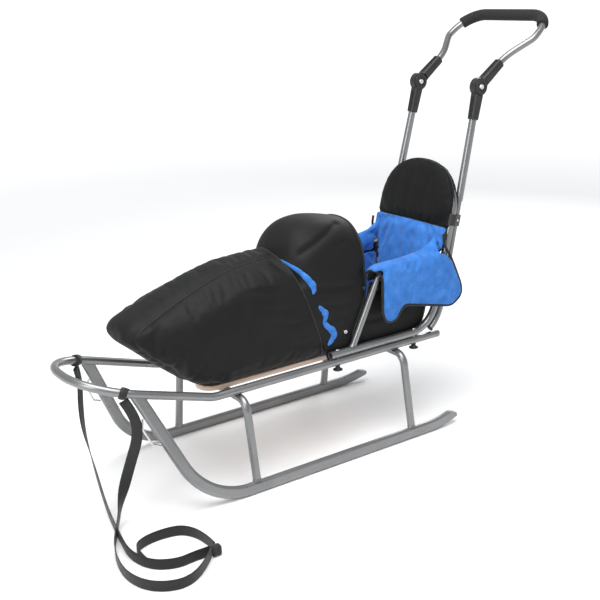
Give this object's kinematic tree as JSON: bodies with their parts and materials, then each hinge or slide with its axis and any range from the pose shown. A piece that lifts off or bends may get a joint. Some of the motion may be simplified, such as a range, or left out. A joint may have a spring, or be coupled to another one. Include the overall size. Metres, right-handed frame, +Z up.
{
  "type": "toddler push and tow sled",
  "caption": "Toddler's push and tow sled: steel-tube frame on two runners, wooden slats, bolt-on seat with padded liner and footmuff, tilting push handle and tow strap.",
  "frame": {"origin": "on the floor, at the middle of the sled's length without its strap, in its plane of symmetry", "axes": "+X towards the nose, +Y to the sled's left, +Z up"},
  "size_m": [1.4389, 0.6603, 1.0674],
  "materials": {
    "silver_frame": "satin silver powder coat",
    "slat_wood": "clear-lacquered light wood",
    "bright_bolt": "bright zinc plate",
    "black_plastic": "moulded black nylon, satin",
    "pin_button": "polished black",
    "grip_foam": "closed-cell foam, matt",
    "blue_fleece": "brushed polar fleece",
    "black_fabric": "woven nylon, slight sheen",
    "black_webbing": "woven polypropylene webbing"
  },
  "bodies": {
    "sled": {"arm_flap_left": "blue_fleece", "arm_flap_right": "blue_fleece", "arm_tube_left": "silver_frame", "arm_tube_right": "silver_frame", "back_pad": "blue_fleece", "clamp_lower_left": "black_plastic", "clamp_lower_right": "black_plastic", "clamp_upper_left": "black_plastic", "clamp_upper_right": "black_plastic", "footmuff_body": "black_fabric", "footmuff_hood": "black_fabric", "headrest": "black_fabric", "hinge_lower_left": "black_plastic", "hinge_lower_right": "black_plastic", "hinge_pin_left": "pin_button", "hinge_pin_right": "pin_button", "leg_bow_front": "silver_frame", "leg_bow_rear": "silver_frame", "pusher_leg_left": "silver_frame", "pusher_leg_right": "silver_frame", "pusher_plug_left": "black_plastic", "pusher_plug_right": "black_plastic", "pusher_tube_left": "silver_frame", "pusher_tube_right": "silver_frame", "rail_loop": "silver_frame", "runner_left": "silver_frame", "runner_right": "silver_frame", "seat_bolt_front_left": "bright_bolt", "seat_bolt_front_right": "bright_bolt", "seat_bolt_rear_left": "bright_bolt", "seat_bolt_rear_right": "bright_bolt", "seat_frame": "silver_frame", "seat_knob_front_left": "black_plastic", "seat_knob_front_right": "black_plastic", "seat_knob_rear_left": "black_plastic", "seat_knob_rear_right": "black_plastic", "seat_pad": "blue_fleece", "side_panel_left": "blue_fleece", "side_panel_right": "blue_fleece", "slat_left": "slat_wood", "slat_right": "slat_wood", "strap_joint": "black_webbing", "strap_wrap_left": "black_webbing", "strap_wrap_right": "black_webbing", "tow_eyelet_left": "silver_frame", "tow_eyelet_right": "silver_frame", "tow_strap_left": "black_webbing", "tow_strap_loop": "black_webbing", "tow_strap_right": "black_webbing"},
    "push_handle": {"handle_bar": "silver_frame", "handle_grip": "grip_foam", "hinge_upper_left": "black_plastic", "hinge_upper_right": "black_plastic"}
  },
  "joints": [
    {"name": "handle_tilt", "type": "hinge", "parent": "sled", "child": "push_handle", "pos_m": [-0.46501, 0, 0.883], "axis": [0, 1, 0], "range_deg": [-60, 120]}
  ]
}
